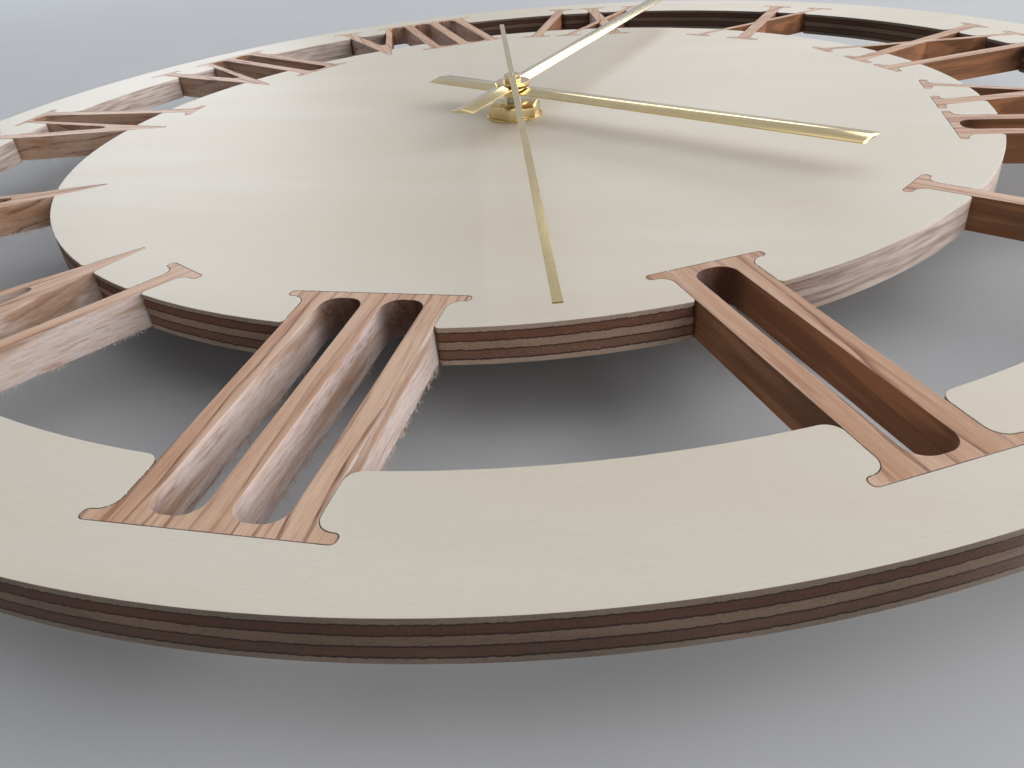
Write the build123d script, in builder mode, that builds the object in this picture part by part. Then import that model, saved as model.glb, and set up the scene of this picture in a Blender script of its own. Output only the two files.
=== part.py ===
# Skeleton wall clock: a plywood ring and disc held together by twelve oak Roman numerals,
# with a battery movement behind the disc and three brass hands in front of it.
# The clock lies on its back: +Z is the dial's face, twelve is towards +Y, and the origin is
# on the hand axis at the rear face of the movement. All sizes are in millimetres.
import os
from math import acos, cos, degrees, pi, radians, sin, tan

from build123d import *

os.makedirs("parts", exist_ok=True)

# Plywood ring and disc
disc_radius = 155.0
open_gap = 45.5
ring_width = 29.5
ply_thickness = 9.0
ply_edge_break = 0.35
ring_corner_radius = 3.2
disc_corner_radius = 1.2

# Oak numerals
inner_inset = 15.5
ring_margin = 14.0
stroke_width = 4.8
stroke_gap = 9.6
end_bar = 2.6
slot_end_flat = 1.6
serif_reach = 4.6
serif_thickness = 2.3
serif_tip_radius = 1.0
serif_bracket = 3.4
slanted_bracket = 2.2
thick_arm = 5.6
thin_arm = 3.0
vee_span = 28.5
cross_span = 28.6
vee_point = 0.8
vee_notch_radius = 1.6
vee_space = 7.0
cross_space = 11.6
pocket_clearance = 0.1

# Movement case
case_corner = 3.0
case_wall = 1.5
front_plate = 1.5
cover_thickness = 1.5
cover_lip = 1.0
cover_lip_height = 2.0
case_fit = 0.1
partition_thickness = 0.8
partition_end_gap = 2.0

# Battery cell and its contacts
cell_radius = 7.1
cell_length = 49.5
cell_nub_radius = 2.7
cell_nub_length = 1.0
cell_clearance = 0.2
cell_end_space = 1.25
train_clearance = 0.4
contact_thickness = 0.3
contact_width = 9.0
contact_height = 10.0
contact_dimple_radius = 2.2
contact_tail_width = 1.8

# Gear teeth
pressure_angle = 25.0
tooth_addendum = 0.85
tooth_dedendum = 1.15
tooth_play = 0.06
train_distance = 12.0
motion_distance = 9.6
intermediate_distance = 9.8
rotor_distance = 9.4
second_teeth = 60
second_pinion_teeth = 10
third_teeth = 75
third_pinion_teeth = 10
centre_teeth = 80
intermediate_teeth = 60
intermediate_pinion_teeth = 10
rotor_pinion_teeth = 12
cannon_teeth = 12
motion_teeth = 36
motion_pinion_teeth = 10
hour_teeth = 40
setting_teeth = 18
third_direction = 180.0
motion_direction = 90.0
intermediate_direction = 30.0
rotor_direction = 15.0
setting_direction = 120.0

# Arbors, bearings and wheel layers
running_clearance = 0.05
axial_play = 0.3
hour_wheel_play = 0.9
pivot_radius = 0.4
train_arbor_radius = 0.5
boss_wall = 0.75
pivot_depth = 1.8
wheel_thickness = 1.0
layer_step = 2.0
plate_thickness = 0.7
pinion_width = 1.8
rear_boss_height = 0.8
second_arbor_radius = 0.5
minute_arbor_radius = 1.5
hour_tube_radius = 2.5
stud_radius = 0.9
clip_radius = 1.7
clip_thickness = 0.3
pillar_radius = 1.8
pillar_pin_radius = 0.9
pillar_inset = 4.5

# Setting shaft and knob
setting_shaft_radius = 0.8
knob_radius = 4.0
knob_height = 2.6
knob_recess = 0.4
knob_flutes = 16
knob_flute_radius = 0.45
well_clearance = 0.4
well_wall = 0.8

# Stepping motor and circuit
magnet_radius = 2.7
magnet_height = 2.8
stator_thickness = 1.4
stator_air_gap = 0.4
stator_arm = 4.0
stator_bridge = 3.0
stator_span = 22.0
coil_row = 20.5
coil_core_width = 3.0
coil_radius = 2.9
coil_flange_radius = 3.3
coil_flange = 0.8
coil_clearance = 0.5
board_width = 14.0
board_depth = 11.5
board_thickness = 1.0
board_drop = 0.2
chip_radius = 2.4
chip_height = 1.0
crystal_radius = 1.0
crystal_length = 6.0
support_post_radius = 1.2

# Fixing at the dial
bush_radius = 5.0
bush_flange_radius = 6.5
bush_flange = 1.2
bush_clearance = 0.1
bush_stand = 5.0
hanger_thickness = 0.8
hanger_width = 22.0
hanger_hole_radius = 3.0
hanger_hole_edge = 6.0
hanger_hole_rise = 7.0
rubber_radius = 12.0
rubber_thickness = 1.0
washer_radius = 10.0
washer_thickness = 0.6
nut_across_flats = 16.8
nut_height = 4.0
nut_chamfer = 0.7

# Hands
hour_reach = 127.0
hour_tail = 38.0
hour_width = 10.5
hour_angle = 60.8
hour_lift = 9.0
minute_reach = 180.0
minute_tail = 37.0
minute_width = 8.0
minute_angle = 166.9
minute_lift = 10.9
second_reach = 173.5
second_tail = 99.0
second_width = 2.0
second_angle = 15.3
second_lift = 13.7
hand_edge = 0.35
hand_ridge = 1.1
hand_end_bevel = 0.5
second_thickness = 0.5
hand_hub_radius = 6.0
hour_collet_radius = 3.6
hour_collet_height = 2.0
second_hub_radius = 3.0
second_collet_radius = 1.1
second_collet_height = 0.4
minute_nut_radius = 3.0
minute_nut_height = 0.9
tube_show = 0.2

# Radii that follow from the disc
ring_inner_radius = disc_radius + open_gap
ring_outer_radius = ring_inner_radius + ring_width
outer_inset = ring_width - ring_margin

# Heights that follow from the stack
intermediate_level = cover_thickness + rear_boss_height + axial_play
second_level = intermediate_level + layer_step
third_level = second_level + layer_step
plate_level = third_level + wheel_thickness + axial_play
plate_top = plate_level + plate_thickness
centre_level = plate_top + axial_play
cannon_level = centre_level + wheel_thickness + axial_play
motion_level = cannon_level + axial_play + clip_thickness
motion_pinion_level = motion_level + wheel_thickness
cannon_top = motion_pinion_level + axial_play
hour_level = cannon_top + axial_play
flange_level = hour_level + wheel_thickness + hour_wheel_play
front_inside = flange_level + bush_flange
case_depth = front_inside + front_plate
hanger_back = case_depth
rubber_back = hanger_back + hanger_thickness
dial_back = rubber_back + rubber_thickness
dial_top = dial_back + ply_thickness
nut_base = dial_top + washer_thickness
hour_base = dial_top + hour_lift
minute_base = dial_top + minute_lift
second_base = dial_top + second_lift


def polar(radius, angle, centre=(0.0, 0.0)):
    """Point at a radius and an angle in degrees from a centre."""
    return (centre[0] + radius * cos(radians(angle)), centre[1] + radius * sin(radians(angle)))


def level(height, place=(0.0, 0.0)):
    """Horizontal plane at a height, centred on a place in plan."""
    return Plane((place[0], place[1], height))


def finish(piece, name):
    """Label a finished piece and write it."""
    piece.part.label = name
    export_step(piece.part, f"parts/{name}.step")


# Gear geometry
def module_of(distance, teeth_a, teeth_b):
    """Module that gives two wheels their centre distance."""
    return 2 * distance / (teeth_a + teeth_b)


def tip_radius(teeth, module):
    """Outside radius of a wheel."""
    return module * (teeth / 2 + tooth_addendum)


def meshing_phase(direction, teeth_a, phase_a, teeth_b):
    """Phase of wheel b that puts its gap on the tooth of wheel a, seen along a direction."""
    offset = (phase_a - direction) % (360 / teeth_a)
    return direction + 180 - offset * teeth_a / teeth_b + 180 / teeth_b


def gear_outline(teeth, module, phase=0.0):
    """Involute wheel outline with one tooth centred on the phase angle."""
    pitch_radius = module * teeth / 2
    base_radius = pitch_radius * cos(radians(pressure_angle))
    outside_radius = tip_radius(teeth, module)
    root_radius = pitch_radius - tooth_dedendum * module
    flank_radius = max(base_radius, root_radius)
    middle_radius = (flank_radius + outside_radius) / 2
    pressure = radians(pressure_angle)
    half_tooth = (pi * module / 2 - tooth_play) / (2 * pitch_radius) + tan(pressure) - pressure
    flank = []
    for radius in (flank_radius, middle_radius, outside_radius):
        roll = acos(min(1.0, base_radius / radius))
        flank.append((radius, degrees(half_tooth - tan(roll) + roll)))
    if root_radius < flank_radius:
        flank.insert(0, (root_radius, flank[0][1]))
    points = []
    for tooth in range(teeth):
        centre = phase + 360 * tooth / teeth
        points += [polar(radius, centre - half) for radius, half in flank]
        points += [polar(radius, centre + half) for radius, half in reversed(flank)]
    with BuildSketch() as outline:
        with BuildLine():
            Polyline(*points, close=True)
        make_face()
    return outline.sketch


def toothed_disc(height, thickness, outline, place=(0.0, 0.0)):
    """Add a toothed wheel to the part that is being built."""
    extrude(level(height, place) * outline, amount=thickness)


def round_bar(bottom, top, radius, place=(0.0, 0.0), mode=Mode.ADD):
    """Add or cut an upright round bar between two heights."""
    with Locations((*place, bottom)):
        Cylinder(radius, top - bottom, align=(Align.CENTER, Align.CENTER, Align.MIN), mode=mode)


train_module = module_of(train_distance, second_pinion_teeth, third_teeth)
centre_module = module_of(train_distance, third_pinion_teeth, centre_teeth)
cannon_module = module_of(motion_distance, cannon_teeth, motion_teeth)
hour_module = module_of(motion_distance, motion_pinion_teeth, hour_teeth)
second_module = module_of(intermediate_distance, intermediate_pinion_teeth, second_teeth)
rotor_module = module_of(rotor_distance, rotor_pinion_teeth, intermediate_teeth)
setting_distance = cannon_module * (motion_teeth + setting_teeth) / 2

third_place = polar(train_distance, third_direction)
motion_place = polar(motion_distance, motion_direction)
intermediate_place = polar(intermediate_distance, intermediate_direction)
rotor_place = polar(rotor_distance, rotor_direction, intermediate_place)
setting_place = polar(setting_distance, setting_direction, motion_place)

third_phase = meshing_phase(third_direction, second_pinion_teeth, 0.0, third_teeth)
centre_phase = meshing_phase(third_direction + 180, third_pinion_teeth, 0.0, centre_teeth)
motion_phase = meshing_phase(motion_direction, cannon_teeth, 0.0, motion_teeth)
hour_phase = meshing_phase(motion_direction + 180, motion_pinion_teeth, 0.0, hour_teeth)
intermediate_phase = meshing_phase(
    intermediate_direction, second_teeth, 0.0, intermediate_pinion_teeth
)
rotor_phase = meshing_phase(rotor_direction, intermediate_teeth, 0.0, rotor_pinion_teeth)
setting_phase = meshing_phase(setting_direction, motion_teeth, motion_phase, setting_teeth)

# Case widths that follow from the cell's length and from the train beside the cell
train_reach = tip_radius(centre_teeth, centre_module) + train_clearance
bay_width = train_reach + partition_thickness + cell_clearance + 2 * cell_radius
case_inside = max(cell_length + cell_nub_length + 2 * cell_end_space, 2 * bay_width)
case_width = case_inside + 2 * case_wall
inside_edge = case_inside / 2
cell_row = -inside_edge + cell_clearance / 2 + cell_radius
cell_level = front_inside - cell_clearance - cell_radius
partition_row = cell_row + cell_radius + cell_clearance / 2 + partition_thickness / 2
gear_bay_edge = partition_row + partition_thickness / 2

# Numeral letters, drawn upright: x runs clockwise round the dial and y outwards from its centre
numeral_inner = disc_radius - inner_inset
numeral_outer = ring_inner_radius + outer_inset
numeral_height = numeral_outer - numeral_inner
numeral_middle = (numeral_outer + numeral_inner) / 2
serif_row = numeral_height / 2 - serif_thickness / 2
serif_underside = numeral_height / 2 - serif_thickness


def strokes_span(count):
    """Width across a row of upright strokes, without serifs."""
    return count * stroke_width + (count - 1) * stroke_gap


def serif(centre, row, width):
    """Add one serif bar with rounded tips to the letter that is being drawn."""
    with Locations((centre, row)):
        RectangleRounded(width + 2 * serif_reach, serif_thickness, serif_tip_radius)


def corners_near(letter, points):
    """Corners of a letter that lie at the given points."""
    return [
        corner
        for corner in letter.vertices()
        if any(abs(corner.X - x) + abs(corner.Y - y) < 0.01 for x, y in points)
    ]


def upright_letter(count, slots=True):
    """One to three upright strokes in one piece, with shared serif bars and routed slots."""
    span = strokes_span(count)
    with BuildSketch() as letter:
        Rectangle(span, numeral_height - serif_thickness)
        for end in (-1, 1):
            serif(0, end * serif_row, span)
        joins = [(side * span / 2, end * serif_underside) for side in (-1, 1) for end in (-1, 1)]
        fillet(corners_near(letter, joins), serif_bracket)
        if slots and count > 1:
            with GridLocations(stroke_width + stroke_gap, 1, count - 1, 1):
                RectangleRounded(
                    stroke_gap,
                    numeral_height - 2 * end_bar,
                    (stroke_gap - slot_end_flat) / 2,
                    mode=Mode.SUBTRACT,
                )
    return letter.sketch


def arm_edge(top, bottom, height):
    """Where a slanting edge between the two ends of the numeral crosses a height."""
    share = height / numeral_height + 0.5
    return bottom + (top - bottom) * share


def vee_letter():
    """V with a thick left arm, a thin right arm and a point at its inner end."""
    left = -vee_span / 2
    right = vee_span / 2 - thin_arm
    point_left = -vee_point / 2
    thick_foot = left + thick_arm
    half = numeral_height / 2
    lean_left = (point_left - left) / numeral_height
    lean_right = (right + thin_arm - vee_point / 2) / numeral_height
    notch_drop = (right - thick_foot) / (lean_left + lean_right)
    notch = (thick_foot + lean_left * notch_drop, half - notch_drop)
    drop = serif_thickness / 2
    with BuildSketch() as letter:
        with BuildLine():
            Polyline(
                (left + lean_left * drop, serif_row),
                (thick_foot + lean_left * drop, serif_row),
                notch,
                (right - lean_right * drop, serif_row),
                (right + thin_arm - lean_right * drop, serif_row),
                (vee_point / 2, -half),
                (point_left, -half),
                close=True,
            )
        make_face()
        joins = []
        for edge, thickness in (
            (left + lean_left * serif_thickness, thick_arm),
            (right - lean_right * serif_thickness, thin_arm),
        ):
            serif(edge + thickness / 2, serif_row, thickness)
            joins += [(edge, serif_underside), (edge + thickness, serif_underside)]
        fillet(corners_near(letter, joins), slanted_bracket)
        fillet(corners_near(letter, [notch]), vee_notch_radius)
    return letter.sketch


def cross_letter():
    """X with a thick falling arm and a thin rising arm, with serifs on all four ends."""
    side = cross_span / 2
    arms = ((-side, side - thick_arm, thick_arm), (side - thin_arm, -side, thin_arm))
    joins = []
    with BuildSketch() as letter:
        for top, bottom, thickness in arms:
            with BuildLine():
                Polyline(
                    (arm_edge(top, bottom, serif_row), serif_row),
                    (arm_edge(top, bottom, serif_row) + thickness, serif_row),
                    (arm_edge(top, bottom, -serif_row) + thickness, -serif_row),
                    (arm_edge(top, bottom, -serif_row), -serif_row),
                    close=True,
                )
            make_face()
        for top, bottom, thickness in arms:
            for end in (-1, 1):
                edge = arm_edge(top, bottom, end * serif_underside)
                serif(edge + thickness / 2, end * serif_row, thickness)
                joins += [(edge, end * serif_underside), (edge + thickness, end * serif_underside)]
        fillet(corners_near(letter, joins), slanted_bracket)
    return letter.sketch


letter_shapes = {
    "I": upright_letter(1),
    "II": upright_letter(2),
    "III": upright_letter(3),
    "V": vee_letter(),
    "X": cross_letter(),
}
pocket_shapes = dict(letter_shapes, II=upright_letter(2, slots=False), III=upright_letter(3, slots=False))
letter_spans = {
    "I": strokes_span(1),
    "II": strokes_span(2),
    "III": strokes_span(3),
    "V": vee_span,
    "X": cross_span,
}
numerals = {
    1: "I",
    2: "II",
    3: "III",
    4: "I V",
    5: "V",
    6: "V I",
    7: "V II",
    8: "V III",
    9: "I X",
    10: "X",
    11: "X I",
    12: "X II",
}


def numeral_plan(text, shapes, clearance=0.0):
    """Letters of one numeral side by side at twelve o'clock; a V shares its outer serif."""
    letters = text.split()
    space = vee_space if "V" in letters else cross_space
    cursor = -(sum(letter_spans[name] for name in letters) + space * (len(letters) - 1)) / 2
    with BuildSketch() as plan:
        for place, name in enumerate(letters):
            with Locations((cursor + letter_spans[name] / 2, numeral_middle)):
                add(shapes[name])
            cursor += letter_spans[name] + space
            if "V" in letters and place < len(letters) - 1:
                with Locations((cursor - space / 2, numeral_middle + serif_row)):
                    Rectangle(space, serif_thickness)
        if clearance:
            offset(amount=clearance)
    return plan.sketch


def clock_turn(hour):
    """Turn about the dial's axis from twelve o'clock to an hour, in degrees."""
    return -360 * hour / len(numerals)


for hour, text in numerals.items():
    with BuildPart() as numeral:
        with BuildSketch(level(dial_back)):
            add(numeral_plan(text, letter_shapes), rotation=clock_turn(hour))
        extrude(amount=ply_thickness)
    finish(numeral, f"numeral_{hour}")

pocket_plans = {
    hour: numeral_plan(text, pocket_shapes, pocket_clearance) for hour, text in numerals.items()
}


def cut_pockets():
    """Cut all twelve numeral pockets out of the plan that is being drawn."""
    for hour, plan in pocket_plans.items():
        add(plan, rotation=clock_turn(hour), mode=Mode.SUBTRACT)


def rounded_plan(plan, edge_radius, corner_radius):
    """Largest face of a plan, with the corners where pockets break its edge rounded."""
    with BuildSketch() as rounded:
        add(plan.faces().sort_by(SortBy.AREA)[-1])
        on_edge = [
            corner
            for corner in rounded.vertices()
            if abs(Vector(corner.X, corner.Y).length - edge_radius) < 0.01
        ]
        fillet(on_edge, corner_radius)
    return rounded.sketch


# Outer ring
with BuildSketch() as ring_plan:
    Circle(ring_outer_radius)
    Circle(ring_inner_radius, mode=Mode.SUBTRACT)
    cut_pockets()
with BuildPart() as outer_ring:
    with BuildSketch(level(dial_back)):
        add(rounded_plan(ring_plan.sketch, ring_inner_radius, ring_corner_radius))
    extrude(amount=ply_thickness)
    rims = outer_ring.edges().filter_by(GeomType.CIRCLE)
    fillet(rims.filter_by(lambda rim: rim.radius > ring_outer_radius - ply_edge_break), ply_edge_break)
finish(outer_ring, "outer_ring")

# Dial disc, with its hole for the threaded bush
with BuildSketch() as disc_plan:
    Circle(disc_radius)
    cut_pockets()
with BuildPart() as dial_disc:
    with BuildSketch(level(dial_back)):
        add(rounded_plan(disc_plan.sketch, disc_radius, disc_corner_radius))
        Circle(bush_radius + bush_clearance, mode=Mode.SUBTRACT)
    extrude(amount=ply_thickness)
finish(dial_disc, "dial_disc")


# Movement: front case
def boss(bottom, top, arbor_radius, place, open_end):
    """Add a bearing boss with a blind pivot hole that opens at one of its ends."""
    hole = arbor_radius + running_clearance
    round_bar(bottom, top, hole + boss_wall, place)
    if open_end == "top":
        round_bar(top - pivot_depth, top, hole, place, Mode.SUBTRACT)
    else:
        round_bar(bottom, bottom + pivot_depth, hole, place, Mode.SUBTRACT)


plate_right = inside_edge - partition_end_gap
plate_front_edge = coil_row - coil_flange_radius - 2 * coil_clearance
plate_rear_edge = gear_bay_edge + coil_clearance
pillar_places = [
    (side * (inside_edge - pillar_inset), row)
    for side in (-1, 1)
    for row in (plate_rear_edge + pillar_inset / 2, plate_front_edge - pillar_inset / 2)
]
third_boss_bottom = centre_level + wheel_thickness + 2 * axial_play
setting_gear_top = motion_level + pinion_width
setting_boss_bottom = setting_gear_top + axial_play
stud_shoulder = hour_level + pinion_width

with BuildPart() as front_case:
    with BuildSketch(level(cover_thickness)):
        RectangleRounded(case_width, case_width, case_corner)
    extrude(amount=case_depth - cover_thickness)
    with BuildSketch(level(cover_thickness)):
        RectangleRounded(case_inside, case_inside, case_corner - case_wall)
    extrude(amount=front_inside - cover_thickness, mode=Mode.SUBTRACT)
    with BuildSketch(level(cover_thickness + case_fit, (0, partition_row))):
        Rectangle(2 * plate_right, partition_thickness)
    extrude(amount=front_inside - cover_thickness - case_fit)
    for place in pillar_places:
        round_bar(plate_top, front_inside, pillar_radius, place)
        round_bar(plate_level, plate_top, pillar_pin_radius, place)
    boss(third_boss_bottom, front_inside, train_arbor_radius, third_place, "bottom")
    boss(setting_boss_bottom, front_inside, setting_shaft_radius, setting_place, "bottom")
    round_bar(cannon_level, front_inside, stud_radius, motion_place)
    round_bar(stud_shoulder, front_inside, stud_radius + boss_wall, motion_place)
    round_bar(front_inside, case_depth, bush_radius, mode=Mode.SUBTRACT)
finish(front_case, "front_case")

# Rear cover, with the open battery bay and the well of the setting knob
stator_level = third_level - stator_thickness
board_level = second_level - board_drop
board_right = inside_edge - contact_thickness - 2 * case_fit
board_middle = (board_right - board_width / 2, gear_bay_edge + case_fit + board_depth / 2)
board_posts = [
    (board_middle[0] + across * (board_width / 2 - pillar_inset / 2), board_middle[1] + along)
    for across, along in ((-1, -board_depth / 4), (1, -board_depth / 4), (1, board_depth / 4))
]
stator_right = inside_edge - partition_end_gap / 2
stator_left = stator_right - stator_span
stator_posts = [
    (stator_right - stator_arm / 2, rotor_place[1] - stator_bridge),
    (stator_right - stator_arm / 2, coil_row),
    (stator_left + stator_arm / 2, coil_row),
]
well_radius = knob_radius + well_clearance
well_floor = knob_recess + knob_height + axial_play

with BuildPart() as rear_cover:
    with BuildSketch(level(0)):
        RectangleRounded(case_width, case_width, case_corner)
    extrude(amount=cover_thickness)
    with BuildSketch(level(cover_thickness)):
        RectangleRounded(case_inside - 2 * case_fit, case_inside - 2 * case_fit, case_corner - case_wall)
        inner_lip = case_inside - 2 * case_fit - 2 * cover_lip
        RectangleRounded(inner_lip, inner_lip, case_corner - case_wall, mode=Mode.SUBTRACT)
        with Locations((0, gear_bay_edge + cover_lip - case_width / 2)):
            Rectangle(case_width, case_width, mode=Mode.SUBTRACT)
    extrude(amount=cover_lip_height)
    with BuildSketch(level(0, (0, cell_row))):
        Rectangle(case_inside, 2 * cell_radius + cell_clearance)
    extrude(amount=cover_thickness, mode=Mode.SUBTRACT)
    for place in board_posts:
        round_bar(cover_thickness, board_level, support_post_radius, place)
    for place in stator_posts:
        round_bar(cover_thickness, stator_level, support_post_radius, place)
    boss(cover_thickness, third_level - axial_play, train_arbor_radius, third_place, "top")
    rear_boss_top = cover_thickness + rear_boss_height
    boss(cover_thickness, rear_boss_top, second_arbor_radius, (0, 0), "top")
    for place in (intermediate_place, rotor_place):
        boss(cover_thickness, rear_boss_top, pivot_radius, place, "top")
    round_bar(cover_thickness, well_floor + well_wall, well_radius + well_wall, setting_place)
    round_bar(0, well_floor, well_radius, setting_place, Mode.SUBTRACT)
    round_bar(
        well_floor,
        well_floor + well_wall,
        setting_shaft_radius + running_clearance,
        setting_place,
        Mode.SUBTRACT,
    )
finish(rear_cover, "rear_cover")

# Middle plate, which carries the inner pivots
with BuildPart() as middle_plate:
    with BuildSketch(level(plate_level)):
        with Locations((0, (plate_rear_edge + plate_front_edge) / 2)):
            Rectangle(2 * plate_right, plate_front_edge - plate_rear_edge)
        with Locations(*pillar_places):
            Circle(pillar_pin_radius + running_clearance, mode=Mode.SUBTRACT)
        Circle(second_arbor_radius + running_clearance, mode=Mode.SUBTRACT)
        with Locations(third_place):
            Circle(tip_radius(third_pinion_teeth, centre_module) + axial_play, mode=Mode.SUBTRACT)
        with Locations(intermediate_place, rotor_place):
            Circle(pivot_radius + running_clearance, mode=Mode.SUBTRACT)
        with Locations(setting_place):
            Circle(setting_shaft_radius + axial_play, mode=Mode.SUBTRACT)
    extrude(amount=plate_thickness)
finish(middle_plate, "middle_plate")

# Second wheel and its steel arbor, which carries the second hand
with BuildPart() as second_wheel:
    toothed_disc(second_level, wheel_thickness, gear_outline(second_teeth, second_module))
    toothed_disc(
        second_level + wheel_thickness,
        third_level - second_level,
        gear_outline(second_pinion_teeth, train_module),
    )
    round_bar(second_level, plate_level, second_arbor_radius, mode=Mode.SUBTRACT)
finish(second_wheel, "second_wheel")

second_arbor_top = second_base + second_thickness + tube_show
second_arbor_bottom = cover_thickness + rear_boss_height - pivot_depth + axial_play
with BuildPart() as second_arbor:
    round_bar(second_arbor_bottom, second_arbor_top, second_arbor_radius)
finish(second_arbor, "second_arbor")

# Third wheel
with BuildPart() as third_wheel:
    toothed_disc(
        third_level, wheel_thickness, gear_outline(third_teeth, train_module, third_phase), third_place
    )
    round_bar(
        third_level - pivot_depth,
        third_boss_bottom + pivot_depth - axial_play,
        train_arbor_radius,
        third_place,
    )
    toothed_disc(
        plate_top,
        centre_level + wheel_thickness + axial_play - plate_top,
        gear_outline(third_pinion_teeth, centre_module),
        third_place,
    )
finish(third_wheel, "third_wheel")

# Centre wheel, which turns the minute arbor through its friction seat
with BuildPart() as centre_wheel:
    toothed_disc(centre_level, wheel_thickness, gear_outline(centre_teeth, centre_module, centre_phase))
    round_bar(
        centre_level,
        centre_level + wheel_thickness,
        minute_arbor_radius + running_clearance,
        mode=Mode.SUBTRACT,
    )
finish(centre_wheel, "centre_wheel")

# Minute arbor with its cannon pinion
minute_nut_base = minute_base + hand_ridge
with BuildPart() as minute_arbor:
    round_bar(
        plate_top + axial_play / 2,
        minute_nut_base + minute_nut_height + tube_show,
        minute_arbor_radius,
    )
    toothed_disc(cannon_level, cannon_top - cannon_level, gear_outline(cannon_teeth, cannon_module))
    round_bar(
        plate_top,
        minute_nut_base + minute_nut_height + tube_show,
        second_arbor_radius + running_clearance,
        mode=Mode.SUBTRACT,
    )
finish(minute_arbor, "minute_arbor")

# Motion wheel on its stud, with the push-on clip that keeps it there
with BuildPart() as motion_wheel:
    toothed_disc(
        motion_level, wheel_thickness, gear_outline(motion_teeth, cannon_module, motion_phase), motion_place
    )
    toothed_disc(
        motion_pinion_level,
        stud_shoulder - axial_play - motion_pinion_level,
        gear_outline(motion_pinion_teeth, hour_module),
        motion_place,
    )
    round_bar(motion_level, stud_shoulder, stud_radius + running_clearance, motion_place, Mode.SUBTRACT)
finish(motion_wheel, "motion_wheel")

with BuildPart() as motion_clip:
    with BuildSketch(level(cannon_level, motion_place)):
        Circle(clip_radius)
        Circle(stud_radius, mode=Mode.SUBTRACT)
    extrude(amount=clip_thickness)
finish(motion_clip, "motion_clip")

# Hour wheel with its tube
with BuildPart() as hour_wheel:
    toothed_disc(hour_level, wheel_thickness, gear_outline(hour_teeth, hour_module, hour_phase))
    round_bar(hour_level, hour_base + hand_ridge + tube_show, hour_tube_radius)
    round_bar(
        hour_level,
        hour_base + hand_ridge + tube_show,
        minute_arbor_radius + running_clearance,
        mode=Mode.SUBTRACT,
    )
finish(hour_wheel, "hour_wheel")

# Intermediate wheel between the rotor and the second wheel
with BuildPart() as intermediate_wheel:
    toothed_disc(
        intermediate_level,
        wheel_thickness,
        gear_outline(intermediate_teeth, rotor_module),
        intermediate_place,
    )
    toothed_disc(
        intermediate_level + wheel_thickness,
        second_level + wheel_thickness + axial_play - intermediate_level - wheel_thickness,
        gear_outline(intermediate_pinion_teeth, second_module, intermediate_phase),
        intermediate_place,
    )
    round_bar(second_arbor_bottom, plate_top - axial_play / 2, pivot_radius, intermediate_place)
finish(intermediate_wheel, "intermediate_wheel")

# Rotor: moulded pinion and ring magnet
magnet_level = stator_level + stator_thickness / 2 - magnet_height / 2
with BuildPart() as rotor_pinion:
    toothed_disc(
        intermediate_level - axial_play / 2,
        wheel_thickness + axial_play,
        gear_outline(rotor_pinion_teeth, rotor_module, rotor_phase),
        rotor_place,
    )
    round_bar(second_arbor_bottom, plate_top - axial_play / 2, pivot_radius, rotor_place)
finish(rotor_pinion, "rotor_pinion")

with BuildPart() as rotor_magnet:
    round_bar(magnet_level, magnet_level + magnet_height, magnet_radius, rotor_place)
    round_bar(magnet_level, magnet_level + magnet_height, pivot_radius, rotor_place, Mode.SUBTRACT)
finish(rotor_magnet, "rotor_magnet")

# Stator plate round the rotor, with two legs up to the coil core
stator_block_left = rotor_place[0] - magnet_radius - stator_air_gap - stator_bridge / 2
stator_low = rotor_place[1] - magnet_radius - stator_air_gap - stator_bridge / 2
stator_high = rotor_place[1] + magnet_radius + stator_air_gap + stator_bridge
stator_end = coil_row + coil_core_width / 2 + case_fit
with BuildPart() as stator:
    with BuildSketch(level(stator_level)):
        with BuildLine():
            Polyline(
                (stator_block_left, stator_low),
                (stator_right, stator_low),
                (stator_right, stator_end),
                (stator_right - stator_arm, stator_end),
                (stator_right - stator_arm, stator_high),
                (stator_left + stator_arm, stator_high),
                (stator_left + stator_arm, stator_end),
                (stator_left, stator_end),
                (stator_left, stator_high - stator_bridge),
                (stator_block_left, stator_high - stator_bridge),
                close=True,
            )
        make_face()
        with Locations(rotor_place):
            Circle(magnet_radius + stator_air_gap, mode=Mode.SUBTRACT)
    extrude(amount=stator_thickness)
finish(stator, "stator")

# Coil: core strip across the stator's legs, bobbin and winding
coil_level = stator_level + stator_thickness
coil_middle = (stator_left + stator_right) / 2
bobbin_length = stator_right - stator_left - 2 * stator_arm - 2 * coil_clearance
coil_axis = Plane(
    (coil_middle - bobbin_length / 2, coil_row, coil_level + stator_thickness / 2),
    x_dir=(0, 1, 0),
    z_dir=(1, 0, 0),
)
with BuildPart() as coil_core:
    with BuildSketch(level(coil_level, (coil_middle, coil_row))):
        Rectangle(stator_right - stator_left, coil_core_width)
    extrude(amount=stator_thickness)
finish(coil_core, "coil_core")

bobbin_tube = coil_core_width / 2 + coil_flange
with BuildPart() as coil_bobbin:
    with BuildSketch(coil_axis):
        Circle(bobbin_tube)
        Rectangle(coil_core_width, stator_thickness, mode=Mode.SUBTRACT)
    extrude(amount=bobbin_length)
    for start in (0, bobbin_length - coil_flange):
        with BuildSketch(coil_axis.offset(start)):
            Circle(coil_flange_radius)
            Circle(bobbin_tube, mode=Mode.SUBTRACT)
        extrude(amount=coil_flange)
finish(coil_bobbin, "coil_bobbin")

with BuildPart() as coil_winding:
    with BuildSketch(coil_axis.offset(coil_flange)):
        Circle(coil_radius)
        Circle(bobbin_tube, mode=Mode.SUBTRACT)
    extrude(amount=bobbin_length - 2 * coil_flange)
finish(coil_winding, "coil_winding")

# Circuit board with its chip and quartz crystal
board_top = board_level + board_thickness
with BuildPart() as circuit_board:
    with BuildSketch(level(board_level, board_middle)):
        Rectangle(board_width, board_depth)
    extrude(amount=board_thickness)
finish(circuit_board, "circuit_board")

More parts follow.
